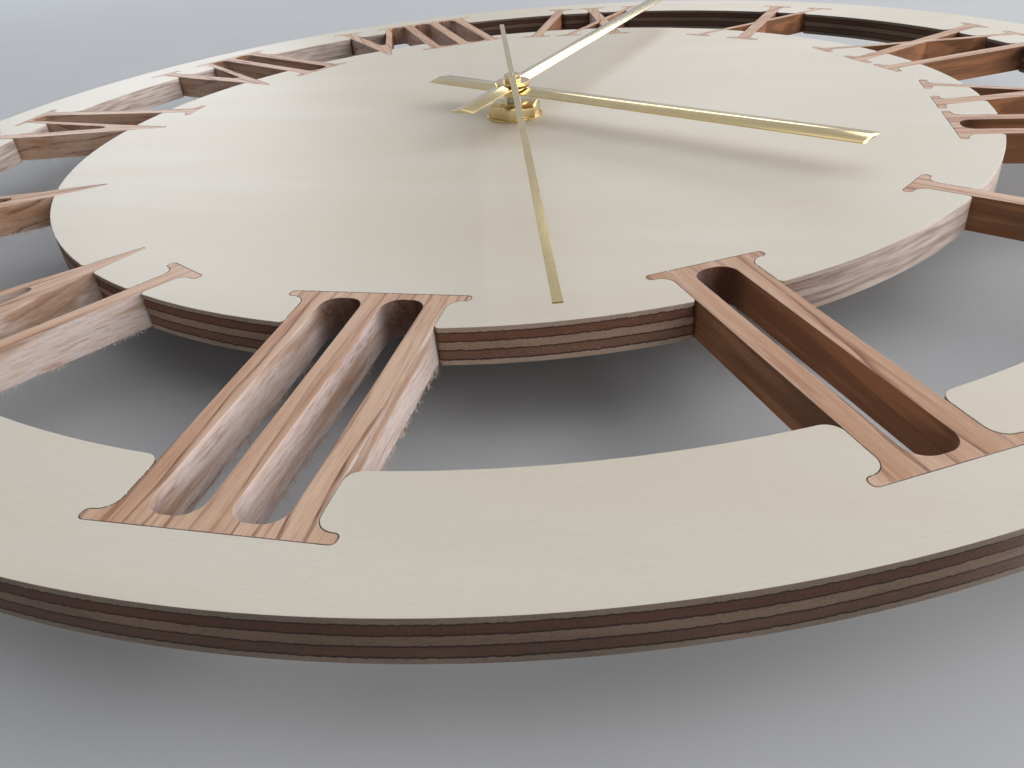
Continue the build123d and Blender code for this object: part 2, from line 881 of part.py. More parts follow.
chip_place = (board_middle[0] - board_width / 4, board_middle[1] + board_depth / 6)
with BuildPart() as chip:
    with BuildSketch(level(board_top, chip_place)):
        Circle(chip_radius)
    extrude(amount=chip_height)
    fillet(chip.edges().group_by(Axis.Z)[-1], chip_height / 2)
finish(chip, "chip")

crystal_start = (board_middle[0] - crystal_length / 2, board_middle[1] - board_depth / 3)
with BuildPart() as crystal:
    with BuildSketch(Plane((*crystal_start, board_top + crystal_radius), x_dir=(0, 1, 0), z_dir=(1, 0, 0))):
        Circle(crystal_radius)
    extrude(amount=crystal_length)
finish(crystal, "crystal")

# Battery cell, lying along X in its bay
cell_start = -(cell_length + cell_nub_length) / 2
cell_axis = Plane((cell_start, cell_row, cell_level), x_dir=(0, 1, 0), z_dir=(1, 0, 0))
with BuildPart() as battery_cell:
    with BuildSketch(cell_axis):
        Circle(cell_radius)
    extrude(amount=cell_length)
    fillet(battery_cell.edges(), cell_clearance * 2)
    with BuildSketch(cell_axis.offset(cell_length)):
        Circle(cell_nub_radius)
    extrude(amount=cell_nub_length)
finish(battery_cell, "battery_cell")

# Sprung contacts at both ends of the bay, with tails to the circuit board
contact_face = inside_edge - case_fit
tail_level = board_top
with BuildPart() as positive_contact:
    with BuildSketch(Plane((contact_face, cell_row, cell_level), x_dir=(0, -1, 0), z_dir=(-1, 0, 0))):
        Rectangle(contact_width, contact_height)
        with BuildLine():
            Polyline(
                (0, tail_level - cell_level),
                (cell_row - board_middle[1], tail_level - cell_level),
                (cell_row - board_middle[1], tail_level - cell_level + contact_tail_width),
                (0, tail_level - cell_level + contact_tail_width),
                close=True,
            )
        make_face()
    extrude(amount=contact_thickness)
    with BuildSketch(
        Plane((contact_face - contact_thickness, cell_row, cell_level), x_dir=(0, -1, 0), z_dir=(-1, 0, 0))
    ):
        Circle(contact_dimple_radius)
    extrude(amount=contact_face - contact_thickness + cell_start)
finish(positive_contact, "positive_contact")

tail_row = gear_bay_edge + contact_thickness / 2
with BuildPart() as negative_contact:
    with BuildSketch(Plane((-contact_face, cell_row, cell_level), x_dir=(0, 1, 0), z_dir=(1, 0, 0))):
        Rectangle(contact_width, contact_height)
        with BuildLine():
            Polyline(
                (0, tail_level - cell_level),
                (gear_bay_edge + contact_thickness - cell_row, tail_level - cell_level),
                (gear_bay_edge + contact_thickness - cell_row, tail_level - cell_level + contact_tail_width),
                (0, tail_level - cell_level + contact_tail_width),
                close=True,
            )
        make_face()
    extrude(amount=contact_thickness)
    with BuildSketch(
        Plane((-contact_face + contact_thickness, cell_row, cell_level), x_dir=(0, 1, 0), z_dir=(1, 0, 0))
    ):
        Circle(contact_dimple_radius)
    extrude(amount=contact_face - contact_thickness + cell_start)
    tail_length = contact_face + board_middle[0]
    with BuildSketch(level(tail_level, (-contact_face + tail_length / 2, tail_row))):
        Rectangle(tail_length, contact_thickness)
    extrude(amount=contact_tail_width)
finish(negative_contact, "negative_contact")

# Setting shaft and the knob at its rear end
with BuildPart() as setting_shaft:
    round_bar(
        knob_recess + knob_height / 2,
        setting_boss_bottom + pivot_depth - axial_play,
        setting_shaft_radius,
        setting_place,
    )
    toothed_disc(
        motion_level - axial_play,
        setting_gear_top - motion_level + axial_play,
        gear_outline(setting_teeth, cannon_module, setting_phase),
        setting_place,
    )
finish(setting_shaft, "setting_shaft")

with BuildPart() as setting_knob:
    with BuildSketch(level(knob_recess, setting_place)):
        Circle(knob_radius)
        with PolarLocations(knob_radius, knob_flutes):
            Circle(knob_flute_radius, mode=Mode.SUBTRACT)
    extrude(amount=knob_height)
    round_bar(
        knob_recess + knob_height / 2,
        knob_recess + knob_height,
        setting_shaft_radius,
        setting_place,
        Mode.SUBTRACT,
    )
finish(setting_knob, "setting_knob")

# Threaded bush, hanger plate, washers and nut that clamp the movement to the disc
with BuildPart() as threaded_bush:
    round_bar(flange_level, front_inside, bush_flange_radius)
    round_bar(front_inside, dial_top + bush_stand, bush_radius)
    round_bar(
        flange_level, dial_top + bush_stand, hour_tube_radius + running_clearance, mode=Mode.SUBTRACT
    )
finish(threaded_bush, "threaded_bush")

hanger_hole_row = case_width / 2 + hanger_hole_rise
hanger_top = hanger_hole_row + hanger_hole_edge
with BuildPart() as hanger_plate:
    with BuildSketch(level(hanger_back)):
        with Locations((0, (hanger_top - hanger_width / 2) / 2)):
            RectangleRounded(hanger_width, hanger_top + hanger_width / 2, case_corner)
        Circle(bush_radius + bush_clearance, mode=Mode.SUBTRACT)
        with Locations((0, hanger_hole_row)):
            Circle(hanger_hole_radius, mode=Mode.SUBTRACT)
    extrude(amount=hanger_thickness)
finish(hanger_plate, "hanger_plate")

with BuildPart() as rubber_washer:
    with BuildSketch(level(rubber_back)):
        Circle(rubber_radius)
        Circle(bush_radius + bush_clearance, mode=Mode.SUBTRACT)
    extrude(amount=rubber_thickness)
finish(rubber_washer, "rubber_washer")

with BuildPart() as dial_washer:
    with BuildSketch(level(dial_top)):
        Circle(washer_radius)
        Circle(bush_radius + bush_clearance, mode=Mode.SUBTRACT)
    extrude(amount=washer_thickness)
finish(dial_washer, "dial_washer")

with BuildPart() as hex_nut:
    with BuildSketch(level(nut_base)):
        RegularPolygon(nut_across_flats / 2, 6, major_radius=False)
        Circle(bush_radius, mode=Mode.SUBTRACT)
    extrude(amount=nut_height)
    nut_top_edges = hex_nut.edges().group_by(Axis.Z)[-1].filter_by(GeomType.LINE)
    chamfer(nut_top_edges, nut_chamfer)
finish(hex_nut, "hex_nut")


# Hands
def roof_hand(reach, tail, width, angle, base, hole_radius):
    """Baton hand with a ridge along its length, bevelled ends and a round hub."""
    tail_end = polar(-tail, angle)
    along = polar(1, angle)
    across = polar(1, angle + 90)
    with BuildPart() as hand:
        with BuildSketch(Plane((*tail_end, base), x_dir=(*across, 0), z_dir=(*along, 0))):
            with BuildLine():
                Polyline(
                    (-width / 2, 0),
                    (width / 2, 0),
                    (width / 2, hand_edge),
                    (0, hand_ridge),
                    (-width / 2, hand_edge),
                    close=True,
                )
            make_face()
        extrude(amount=reach + tail)
        hand_axis = Axis((0, 0, 0), (*along, 0))
        for end in (0, -1):
            end_face = hand.faces().sort_by(hand_axis)[end]
            chamfer(end_face.edges().sort_by(Axis.Z)[-2:], hand_end_bevel)
        round_bar(base, base + hand_ridge, hand_hub_radius)
        round_bar(base, base + hand_ridge, hole_radius, mode=Mode.SUBTRACT)
    return hand.part


with BuildPart() as hour_hand:
    add(roof_hand(hour_reach, hour_tail, hour_width, hour_angle, hour_base, hour_tube_radius))
    with BuildSketch(level(hour_base - hour_collet_height)):
        Circle(hour_collet_radius)
        Circle(hour_tube_radius, mode=Mode.SUBTRACT)
    extrude(amount=hour_collet_height)
finish(hour_hand, "hour_hand")

with BuildPart() as minute_hand:
    add(roof_hand(minute_reach, minute_tail, minute_width, minute_angle, minute_base, minute_arbor_radius))
finish(minute_hand, "minute_hand")

with BuildPart() as minute_nut:
    with BuildSketch(level(minute_nut_base)):
        Circle(minute_nut_radius)
        Circle(minute_arbor_radius, mode=Mode.SUBTRACT)
    extrude(amount=minute_nut_height)
finish(minute_nut, "minute_nut")

with BuildPart() as second_hand:
    with BuildSketch(level(second_base)):
        with Locations(Location((0, 0), second_angle)):
            with Locations(((second_reach - second_tail) / 2, 0)):
                Rectangle(second_reach + second_tail, second_width)
        Circle(second_hub_radius)
    extrude(amount=second_thickness)
    round_bar(second_base - second_collet_height, second_base, second_collet_radius)
    round_bar(
        second_base - second_collet_height,
        second_base + second_thickness,
        second_arbor_radius,
        mode=Mode.SUBTRACT,
    )
finish(second_hand, "second_hand")
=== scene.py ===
# Looks of the skeleton wall clock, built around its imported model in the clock's own frame:
# metres, the dial's face towards +Z, twelve towards +Y, the hand axis at the origin.
import math

import bmesh
import bpy
from mathutils import Matrix, Vector


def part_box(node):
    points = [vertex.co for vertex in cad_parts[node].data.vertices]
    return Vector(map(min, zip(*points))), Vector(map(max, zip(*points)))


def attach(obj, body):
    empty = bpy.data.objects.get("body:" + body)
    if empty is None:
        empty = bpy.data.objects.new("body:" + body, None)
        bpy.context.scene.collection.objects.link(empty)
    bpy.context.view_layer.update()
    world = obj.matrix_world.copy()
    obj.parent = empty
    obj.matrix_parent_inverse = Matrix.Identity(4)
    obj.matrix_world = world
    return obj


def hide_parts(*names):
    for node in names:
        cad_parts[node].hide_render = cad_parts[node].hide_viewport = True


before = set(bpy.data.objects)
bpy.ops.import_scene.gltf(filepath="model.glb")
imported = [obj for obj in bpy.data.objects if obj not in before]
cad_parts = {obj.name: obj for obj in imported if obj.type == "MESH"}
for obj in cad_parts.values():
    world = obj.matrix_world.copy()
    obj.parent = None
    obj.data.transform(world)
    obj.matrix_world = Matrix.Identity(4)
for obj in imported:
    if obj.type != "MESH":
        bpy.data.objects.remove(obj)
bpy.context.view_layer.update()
scene = bpy.context.scene
scene.view_settings.view_transform = "Standard"


# Plywood ring and disc: two pieces routed from one sheet of five layers with pale faces.
# The long-grained layers show pale at the edge, and the cross layers show dark end grain
# between thin glue lines. The edges are only eased with fine paper.
metre = 1000.0  # in millimetres, the unit of patterns, radii and small sizes below


class Value:
    """A node socket in a Python expression: every operator adds one Math node to its tree."""

    def __init__(self, nodes, socket):
        self.nodes = nodes
        self.socket = socket

    def maths(self, operation, *others):
        return self.nodes.add("ShaderNodeMath", {"operation": operation}, (self, *others))

    def __add__(self, other):
        return self.maths("ADD", other)

    def __sub__(self, other):
        return self.maths("SUBTRACT", other)

    def __rsub__(self, other):
        return self.nodes.add("ShaderNodeMath", {"operation": "SUBTRACT"}, (other, self))

    def __mul__(self, other):
        return self.maths("MULTIPLY", other)

    def __truediv__(self, other):
        return self.maths("DIVIDE", other)

    def __abs__(self):
        return self.maths("ABSOLUTE")

    __radd__ = __add__
    __rmul__ = __mul__


class Nodes:
    """A node tree that is filled through one method, add; the others only name its uses."""

    def __init__(self, tree):
        self.tree = tree

    def add(self, kind, settings=None, values=None, result=0):
        """Add a node: its settings first, then the values or links of its sockets."""
        node = self.tree.nodes.new(kind)
        for name, setting in (settings or {}).items():
            if name == "stops":
                while len(node.color_ramp.elements) < len(setting):
                    node.color_ramp.elements.new(1.0)
                for element, (position, colour) in zip(node.color_ramp.elements, setting):
                    element.position = position
                    element.color = (*colour, 1.0)
            else:
                setattr(node, name, setting)
        pairs = values.items() if isinstance(values, dict) else enumerate(values or ())
        for key, value in pairs:
            if isinstance(value, Value):
                self.tree.links.new(value.socket, node.inputs[key])
            else:
                node.inputs[key].default_value = value
        return Value(self, node.outputs[result])

    def vector(self, operation, *terms, result=0):
        """Vector maths; a length or a dot product is the result called Value."""
        return self.add("ShaderNodeVectorMath", {"operation": operation}, terms, result)

    def stretched(self, vector, factor):
        """A vector made longer or shorter by a number."""
        values = {0: vector, "Scale": factor}
        return self.add("ShaderNodeVectorMath", {"operation": "SCALE"}, values)

    def axes(self, place):
        """The three numbers of a place."""
        split = self.add("ShaderNodeSeparateXYZ", None, (place,)).socket.node
        return [Value(self, output) for output in split.outputs]

    def from_axis(self, place):
        """A place without its height, and its distance from the hand axis."""
        level = self.vector("MULTIPLY", place, (1.0, 1.0, 0.0))
        return level, self.vector("LENGTH", level, result="Value")


class Finish(Nodes):
    """A procedural material around one Principled shader, with its patterns in millimetres."""

    def __init__(self, name, **constants):
        self.material = bpy.data.materials.new(name)
        self.material.use_nodes = True
        super().__init__(self.material.node_tree)
        self.tree.nodes.clear()
        self.surface = self.tree.nodes.new("ShaderNodeBsdfPrincipled")
        for socket, value in constants.items():
            self.surface.inputs[socket.replace("_", " ")].default_value = value
        output = self.tree.nodes.new("ShaderNodeOutputMaterial")
        self.tree.links.new(self.surface.outputs[0], output.inputs["Surface"])
        place = self.add("ShaderNodeTexCoord", result="Object")
        self.place = self.vector("MULTIPLY", place, (metre, metre, metre))

    def turned(self, angle, shift=(0.0, 0.0, 0.0)):
        """The pattern's place with its X axis turned to an angle in degrees, then shifted."""
        rotation = (0.0, 0.0, math.radians(-angle))
        values = {"Vector": self.place, "Rotation": rotation, "Location": shift}
        return self.add("ShaderNodeMapping", {"vector_type": "POINT"}, values)

    def noise(self, place, scale, detail=2.0, distortion=0.0):
        """Soft noise around 0.5, with a scale in waves per millimetre along each axis."""
        values = {
            "Vector": self.vector("MULTIPLY", place, scale),
            "Scale": 1.0,
            "Detail": detail,
            "Distortion": distortion,
        }
        return self.add("ShaderNodeTexNoise", None, values)

    def rise(self, value, low, high):
        """A smooth step from 0 at low to 1 at high."""
        values = {"Value": value, "From Min": low, "From Max": high}
        return self.add("ShaderNodeMapRange", {"interpolation_type": "SMOOTHSTEP"}, values)

    def blend(self, factor, colour, other):
        """Mix of two colours."""
        colours = [c if isinstance(c, Value) else (*c, 1.0) for c in (colour, other)]
        values = {0: factor, 6: colours[0], 7: colours[1]}
        return self.add("ShaderNodeMix", {"data_type": "RGBA"}, values, result=2)

    def flatness(self):
        """1 on level faces, 0 on upright walls."""
        normal = self.add("ShaderNodeNewGeometry", result="True Normal")
        return abs(self.axes(normal)[2])

    def paint(self, colour=None, roughness=None, height=None, depth=0.02):
        """Join the patterns to the shader; height is a bump of the given depth in millimetres."""
        if colour:
            self.tree.links.new(colour.socket, self.surface.inputs["Base Color"])
        if roughness:
            self.tree.links.new(roughness.socket, self.surface.inputs["Roughness"])
        if height:
            values = {"Strength": 1.0, "Distance": depth / metre, "Height": height}
            bump = self.add("ShaderNodeBump", None, values)
            self.tree.links.new(bump.socket, self.surface.inputs["Normal"])
        return self.material


def set_material(mesh, material):
    """Give a mesh one material in place of those that it has."""
    mesh.materials.clear()
    mesh.materials.append(material)


def link_piece(name, mesh, material):
    """Put a finished mesh into the scene as a piece at the origin."""
    set_material(mesh, material)
    piece = bpy.data.objects.new(name, mesh)
    scene.collection.objects.link(piece)
    return piece


def write_smooth(shape, mesh):
    """Write a working shape into a mesh with smooth faces, and free it."""
    for face in shape.faces:
        face.smooth = True
    shape.to_mesh(mesh)
    shape.free()


weld_gap = 2e-6
one_plane = math.radians(0.4)
sharp_edge = math.radians(40.0)
crease = math.radians(20.0)


def eased_copy(node, name, ease, material, body="base", marks=None):
    """Copy of a CAD node with its sharp edges eased, which stands for it; marks are cut into it."""
    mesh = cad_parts[node].data.copy()
    packed_normals = mesh.attributes.get("custom_normal")
    if packed_normals:
        mesh.attributes.remove(packed_normals)
    shape = bmesh.new()
    shape.from_mesh(mesh)
    bmesh.ops.remove_doubles(shape, verts=shape.verts, dist=weld_gap)
    bmesh.ops.dissolve_limit(shape, angle_limit=one_plane, verts=shape.verts, edges=shape.edges)
    bmesh.ops.bevel(
        shape,
        geom=[edge for edge in shape.edges if edge.calc_face_angle(0.0) > sharp_edge],
        offset=ease / metre,
        offset_type="OFFSET",
        segments=2,
        profile=0.5,
        affect="EDGES",
    )
    bmesh.ops.triangulate(shape, faces=[face for face in shape.faces if len(face.verts) > 4])
    write_smooth(shape, mesh)
    if marks:
        mesh = cut_mesh(mesh, marks)
    mesh.set_sharp_from_angle(angle=crease)
    piece = link_piece(name, mesh, material)
    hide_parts(node)
    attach(piece, body)
    return piece


disc_low, disc_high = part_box("dial_disc")
dial_back = disc_low.z * metre
ply_thickness = (disc_high.z - disc_low.z) * metre
disc_radius = disc_high.x * metre
ring_inner_radius = 200.5
ring_outer_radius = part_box("outer_ring")[1].x * metre

pale_veneer = (0.622, 0.572, 0.490)
warm_veneer = (0.600, 0.535, 0.440)
edge_veneer = (0.460, 0.340, 0.255)
pale_core = (0.410, 0.265, 0.185)
upper_crossband = (0.195, 0.080, 0.045)
lower_crossband = (0.225, 0.112, 0.070)
glue_line = (0.055, 0.022, 0.013)
# Pale edge colour: torn end grain, and partly a painted highlight of the window light.
torn_and_lit_ply = (0.700, 0.590, 0.530)
seam_brown = (0.150, 0.075, 0.045)
glue_dust = (0.700, 0.660, 0.600)
# The bearing of the pale edges, close to the window's: their paleness is partly painted light.
torn_and_lit_bearing = math.radians(70.0)
torn_and_lit_direction = (math.cos(torn_and_lit_bearing), math.sin(torn_and_lit_bearing), 0.0)
layer_stops = [
    (0.0, edge_veneer),
    (0.128, edge_veneer),
    (0.140, glue_line),
    (0.165, glue_line),
    (0.185, lower_crossband),
    (0.370, lower_crossband),
    (0.390, glue_line),
    (0.412, glue_line),
    (0.424, pale_core),
    (0.612, pale_core),
    (0.624, glue_line),
    (0.646, glue_line),
    (0.668, upper_crossband),
    (0.835, upper_crossband),
    (0.850, glue_line),
    (0.868, glue_line),
    (0.885, edge_veneer),
    (1.0, edge_veneer),
]


def plywood(name, shift, edge_tone_and_shade):
    """Sheet plywood: pale faces with fine grain along Y, and layers that show at the edges."""
    ply = Finish(name, Specular_IOR_Level=0.40)
    place = ply.turned(0.0, shift)
    height = ply.axes(ply.place)[2]
    figure = ply.noise(place, (0.030, 0.006, 0.0), 2.0, 0.6)
    fibre = ply.noise(place, (2.6, 0.10, 0.0), 3.0)
    hair = ply.noise(place, (7.0, 0.45, 0.0), 2.0)
    fleck = ply.rise(ply.noise(place, (2.4, 0.42, 0.0), 1.0), 0.68, 0.78)
    face = ply.blend(ply.rise(figure, 0.35, 0.68), pale_veneer, warm_veneer)
    face_tone = 1.0 + 0.09 * (fibre - 0.5) + 0.11 * (hair - 0.5) - 0.06 * fleck
    face = ply.stretched(face, face_tone)

    # The layers by their depth in the sheet, which sways and is torn by the bit.
    sway = 0.045 * (ply.noise(place, (0.045, 0.045, 0.0), 2.0) - 0.5)
    jag = 0.070 * (ply.noise(place, (0.90, 0.90, 0.30), 4.0) - 0.5)
    depth = (height - dial_back) / ply_thickness + sway + jag
    layers = ply.add("ShaderNodeValToRGB", {"stops": layer_stops}, (depth,))
    streak = ply.noise(place, (0.30, 0.30, 6.0), 3.0)
    pore = ply.noise(place, (2.6, 2.6, 1.6), 3.0)
    scorch = ply.rise(ply.noise(place, (0.030, 0.030, 0.12), 3.0), 0.38, 0.70)
    side_tone = 1.12 + 0.70 * (streak - 0.5) + 0.60 * (pore - 0.5) - 0.30 * scorch
    # The edge tone darkens the whole edge: partly the layers' own tone, partly painted shade.
    side = ply.stretched(layers, edge_tone_and_shade * side_tone)

    # Pale torn fibres where the bit met the grain end on, on the two sides along the window's
    # bearing: partly torn end grain, partly painted highlight of the window light.
    level, radius = ply.from_axis(ply.place)
    across = ply.vector("DOT_PRODUCT", level, torn_and_lit_direction, result="Value")
    tufts = ply.rise(ply.noise(place, (0.07, 0.07, 0.9), 3.0), 0.30, 0.70)
    fuzz_and_light = ply.rise(abs(across / radius), 0.72, 0.95) * (0.38 + 0.60 * tufts)
    side = ply.blend(fuzz_and_light, side, torn_and_lit_ply)

    # The eased edges are dark with glue at the inlays, and clean round the two rims.
    flat = ply.flatness()
    wall = 1 - ply.rise(flat, 0.45, 0.92)
    colour = ply.blend(wall, face, side)
    rim = abs(radius - disc_radius)
    for circle in (ring_inner_radius, ring_outer_radius):
        rim = rim.maths("MINIMUM", abs(radius - circle))
    seam = ply.rise(rim, 1.0, 1.4) * (1 - ply.rise(flat, 0.95, 0.99))
    colour = ply.blend(0.85 * seam * ply.rise(pore, 0.20, 0.55), colour, seam_brown)
    dust = seam * ply.rise(ply.noise(place, (1.3, 1.3, 1.3), 1.0), 0.63, 0.68)
    colour = ply.blend(dust, colour, glue_dust)
    roughness = 0.42 + 0.12 * hair + 0.28 * wall
    face_bump = 0.35 * fibre + 0.45 * hair - 0.4 * fleck
    bump = face_bump * (1 - wall) + wall * (streak + 1.2 * pore)
    return ply.paint(colour, roughness, bump, 0.035)


def sheet_outlines(node):
    """Outlines of a CAD node's upper face, with its arcs about the hand axis in fine steps."""
    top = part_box(node)[1].z
    shape = bmesh.new()
    shape.from_mesh(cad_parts[node].data)
    bmesh.ops.remove_doubles(shape, verts=shape.verts, dist=weld_gap)
    upper = {
        face
        for face in shape.faces
        if all(abs(corner.co.z - top) < weld_gap for corner in face.verts)
    }
    border = {
        loop.vert: loop.link_loop_next.vert
        for face in upper
        for loop in face.loops
        if loop.link_loop_radial_next.face not in upper
    }
    outlines = []
    while border:
        first, corner = border.popitem()
        outline = [first.co.xy]
        while corner is not first:
            outline.append(corner.co.xy)
            corner = border.pop(corner)
        outlines.append([Vector(point) for point in outline])
    shape.free()
    return [fine_outline(outline) for outline in outlines]


arc_step = 0.5
on_circle = 2e-5
near_rim = 0.98


def fine_outline(outline):
    """An outline with more points along the edges of ring and disc."""
    if min(point.length for point in outline) > near_rim * ring_outer_radius / metre:
        turns = [math.radians(arc_step * step) for step in range(round(360.0 / arc_step))]
        circle = [Vector((math.cos(turn), math.sin(turn))) for turn in turns]
        return [point * ring_outer_radius / metre for point in circle]
    fine = []
    for point, following in zip(outline, outline[1:] + outline[:1]):
        fine.append(point)
        for circle in (disc_radius / metre, ring_inner_radius / metre):
            if all(abs(end.length - circle) < on_circle for end in (point, following)):
                sweep = -point.angle_signed(following)
                count = math.ceil(abs(sweep) / math.radians(arc_step))
                for step in range(1, count):
                    fine.append(Matrix.Rotation(sweep * step / count, 2) @ point)
    return fine


def sheet_piece(node, name, ease, material):
    """Flat sheet cut to the outlines of a CAD node, with eased edges, which stands for it."""
    low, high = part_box(node)
    curve = bpy.data.curves.new(name, "CURVE")
    curve.dimensions = "2D"
    curve.fill_mode = "BOTH"
    curve.extrude = (high.z - low.z) / 2 - ease / metre
    curve.bevel_depth = ease / metre
    curve.bevel_resolution = 1
    curve.offset = -ease / metre
    for outline in sheet_outlines(node):
        spline = curve.splines.new("POLY")
        spline.points.add(len(outline) - 1)
        for corner, point in zip(spline.points, outline):
            corner.co = (*point, 0.0, 1.0)
        spline.use_cyclic_u = True
    carrier = bpy.data.objects.new(name, curve)
    scene.collection.objects.link(carrier)
    evaluated = carrier.evaluated_get(bpy.context.evaluated_depsgraph_get())
    mesh = bpy.data.meshes.new_from_object(evaluated)
    bpy.data.objects.remove(carrier)
    mesh.transform(Matrix.Translation((0.0, 0.0, (low.z + high.z) / 2)))
    shape = bmesh.new()
    shape.from_mesh(mesh)
    bmesh.ops.remove_doubles(shape, verts=shape.verts, dist=weld_gap / 2)
    bmesh.ops.recalc_face_normals(shape, faces=shape.faces)
    write_smooth(shape, mesh)
    mesh.set_sharp_from_angle(angle=crease)
    piece = link_piece(name, mesh, material)
    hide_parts(node)
    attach(piece, "base")


sheet_ease = 0.12
# One sheet, but the ring's edges take much more painted shade than the disc's.
ring_ply = plywood("ring_ply", shift=(0.0, 0.0, 0.0), edge_tone_and_shade=0.38)
disc_ply = plywood("disc_ply", shift=(83.0, 41.0, 0.0), edge_tone_and_shade=0.80)
sheet_piece("outer_ring", "plywood_ring", sheet_ease, ring_ply)
sheet_piece("dial_disc", "plywood_disc", sheet_ease, disc_ply)


# Numerals: twelve letters of solid oak, as thick as the plywood and let through ring and disc.
# The grain runs along the strokes. The router left a thin burnt line round each inlay,
# scorched ends in the slots, and walls that are pink and torn on one flank, brown on the other.
# The pink flank is partly painted window light, the brown one partly painted shade.
light_oak = (0.610, 0.415, 0.295)
deep_oak = (0.445, 0.240, 0.138)
line_oak = (0.175, 0.066, 0.030)
streak_oak = (0.300, 0.120, 0.055)
# The pale routed colour is partly painted window light, the burnished one partly painted shade.
routed_oak_lit = (0.690, 0.610, 0.595)
bruised_oak = (0.345, 0.225, 0.165)
burnished_oak_shaded = (0.400, 0.165, 0.068)
burnt_oak = (0.070, 0.022, 0.010)
board_tones = (0.45, 0.62, 0.45, 0.40, 0.60, 0.45, 0.65, 0.40, 0.55, 0.70, 0.50, 0.55)
# Shares of painted light on the pale flank, by numeral; small where the flank faces away from the
# window.
lit_flank_shares = (1.0, 1.0, 1.0, 1.0, 0.15, 0.10, 0.30, 0.60, 1.0, 1.0, 1.0, 1.0)
ring_spacing = 3.4
inner_scorch = (143.0, 153.0)
outer_scorch = (205.0, 213.0)


def oak(hour):
    """Oak with its grain along the axis of one numeral, each from its own stretch of board."""
    angle = 90.0 - 30.0 * hour
    flank = (-math.sin(math.radians(angle)), math.cos(math.radians(angle)), 0.0)
    wood = Finish(f"oak_{hour}", Specular_IOR_Level=0.35)
    along = wood.axes(wood.turned(angle))[0]
    board = wood.turned(angle, (61.0 * hour, 7.3 * hour % 19.0, 4.1 * hour % 13.0))

    # Growth rings, each with a dark porous line, and darker streaks in the board.
    drift = wood.noise(board, (0.010, 0.030, 0.030), 2.0)
    waver = wood.noise(board, (0.045, 0.35, 0.35), 2.0)
    across, height = wood.axes(board)[1:]
    lie = math.radians(22.0 + 17.0 * hour % 40.0)
    depth = math.cos(lie) * across + math.sin(lie) * height + 9.0 * drift + 1.5 * waver
    season = (depth / ring_spacing).maths("FRACT")
    early = wood.rise(season, 0.0, 0.05) * (1 - wood.rise(season, 0.07, 0.26))
    vigour = wood.rise(wood.noise(board, (0.02, 0.16, 0.16), 2.0), 0.32, 0.60)
    pores = wood.rise(wood.noise(board, (0.13, 4.2, 4.2), 2.0), 0.50, 0.64)
    fibre = wood.noise(board, (0.40, 11.0, 11.0), 2.0)
    figure = wood.noise(board, (0.014, 0.26, 0.26), 3.0)
    tone = wood.rise(figure + 0.45 * (board_tones[hour - 1] - 0.5), 0.30, 0.75)
    dark = early * (0.25 + 0.75 * vigour) * (0.65 + 0.35 * pores) + 0.20 * pores
    streaks = wood.rise(wood.noise(board, (0.028, 0.62, 0.62), 3.0), 0.54, 0.72)
    colour = wood.blend(tone, light_oak, deep_oak)
    colour = wood.blend(0.68 * streaks, colour, streak_oak)
    colour = wood.blend(dark.maths("MINIMUM", 1.0), colour, line_oak)

    # Routed walls: pale and torn on the flank that the bit tore, burnished on the other.
    # The pale flank is partly painted window light, with less of it on five to eight, whose flanks
    # face away from the window; the burnished flank is partly painted shade, brown and darker.
    flat = wood.flatness()
    wall = 1 - wood.rise(flat, 0.15, 0.60)
    edge = (1 - wood.rise(flat, 0.95, 0.995)) * wood.rise(flat, 0.15, 0.40)
    raised = wood.noise(board, (0.22, 1.9, 1.9), 3.0)
    torn = wall * wood.rise(raised, 0.30, 0.62)
    facing = wood.add("ShaderNodeNewGeometry", result="True Normal")
    side = wood.vector("DOT_PRODUCT", facing, flank, result="Value")
    rough_side = wood.rise(side, -0.4, 0.3)
    burnished_shaded_wall = wall * (1 - rough_side)
    cut = wood.rise(wood.noise(board, (0.018, 0.20, 0.20), 3.0), 0.39, 0.53)
    # Painted shade: the burnished flank is browned, then darkened in patches.
    colour = wood.blend(0.88 * burnished_shaded_wall, colour, burnished_oak_shaded)
    colour = wood.stretched(colour, 1 - 0.42 * burnished_shaded_wall * cut)
    routed = wood.blend(cut, bruised_oak, routed_oak_lit)
    # Painted light, partly torn fibres: the pale flank by the numeral's share; the eased edges are
    # pale with fuzz.
    fuzz_and_light = lit_flank_shares[hour - 1] * rough_side * (0.25 * wall + 0.55 * torn)
    colour = wood.blend(fuzz_and_light + 0.25 * edge, colour, routed)
    colour = wood.stretched(colour, 0.84 + 0.32 * fibre)
    scorch = 1 - wood.rise(along, *inner_scorch) + 0.35 * wood.rise(along, *outer_scorch)
    colour = wood.blend(wall * scorch * (0.60 + 0.45 * raised), colour, burnt_oak)
    roughness = 0.50 + 0.12 * dark + 0.28 * wall
    bump = fibre * (0.4 + wall) - 0.9 * dark + 2.0 * wall * raised
    return wood.paint(colour, roughness, bump, 0.06)


numeral_ease = 0.10
numeral_pieces = [
    eased_copy(f"numeral_{hour}", f"oak_numeral_{hour}", numeral_ease, oak(hour))
    for hour in range(1, 13)
]


# Router fuzz: short wood fibres that the bit left standing on the numerals' walls,
# thickest along the lower edges, where it came out of the wood.
def geometry_tree(name, sizes):
    """A Geometry Nodes tree with one mesh input and named sizes, which come back as values."""
    nodes = Nodes(bpy.data.node_groups.new(name, "GeometryNodeTree"))
    interface = nodes.tree.interface
    interface.new_socket("Geometry", in_out="INPUT", socket_type="NodeSocketGeometry")
    interface.new_socket("Geometry", in_out="OUTPUT", socket_type="NodeSocketGeometry")
    for size in sizes:
        interface.new_socket(size, in_out="INPUT", socket_type="NodeSocketFloat")
    entry = nodes.tree.nodes.new("NodeGroupInput")
    return nodes, {socket.name: Value(nodes, socket) for socket in entry.outputs if socket.name}


